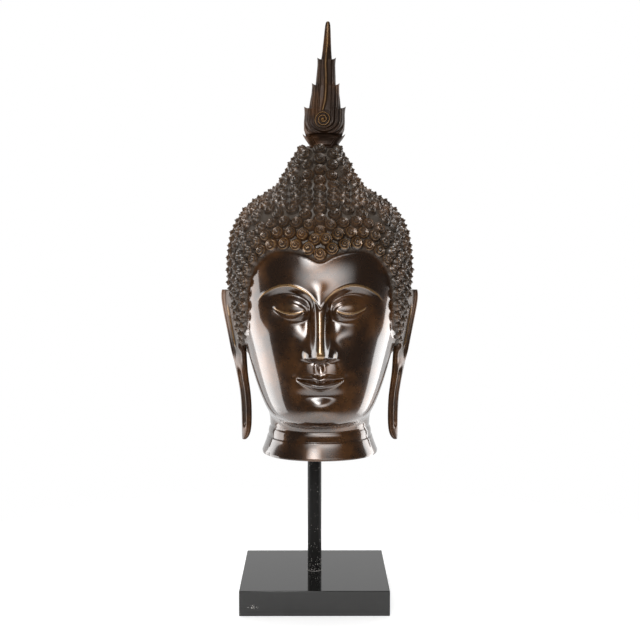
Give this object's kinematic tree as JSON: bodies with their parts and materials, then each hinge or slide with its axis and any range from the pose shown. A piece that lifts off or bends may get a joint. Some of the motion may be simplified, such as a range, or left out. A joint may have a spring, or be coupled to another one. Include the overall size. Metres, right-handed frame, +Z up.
{
  "type": "cast bronze buddha head on a display stand",
  "caption": "Life-size cast bronze head of a Buddha with snail-shell curls, long earlobes and a flame finial, held by a rod on a square black base.",
  "frame": {"origin": "middle of the base's underside, on the rod's axis", "axes": "+Z up along the rod, the face looks towards -Y, +X to the viewer's right"},
  "size_m": [0.2098, 0.2343, 0.6059],
  "materials": {
    "bronze": "dark brown waxed bronze, glossy on the face and duller in the hair, rubbed golden on edges",
    "rod_paint": "satin black paint on a steel rod",
    "base_lacquer": "satin black lacquer on a wooden block"
  },
  "bodies": {
    "root": {"head": "bronze", "flame_finial": "bronze", "rod": "rod_paint", "base": "base_lacquer"}
  },
  "joints": []
}
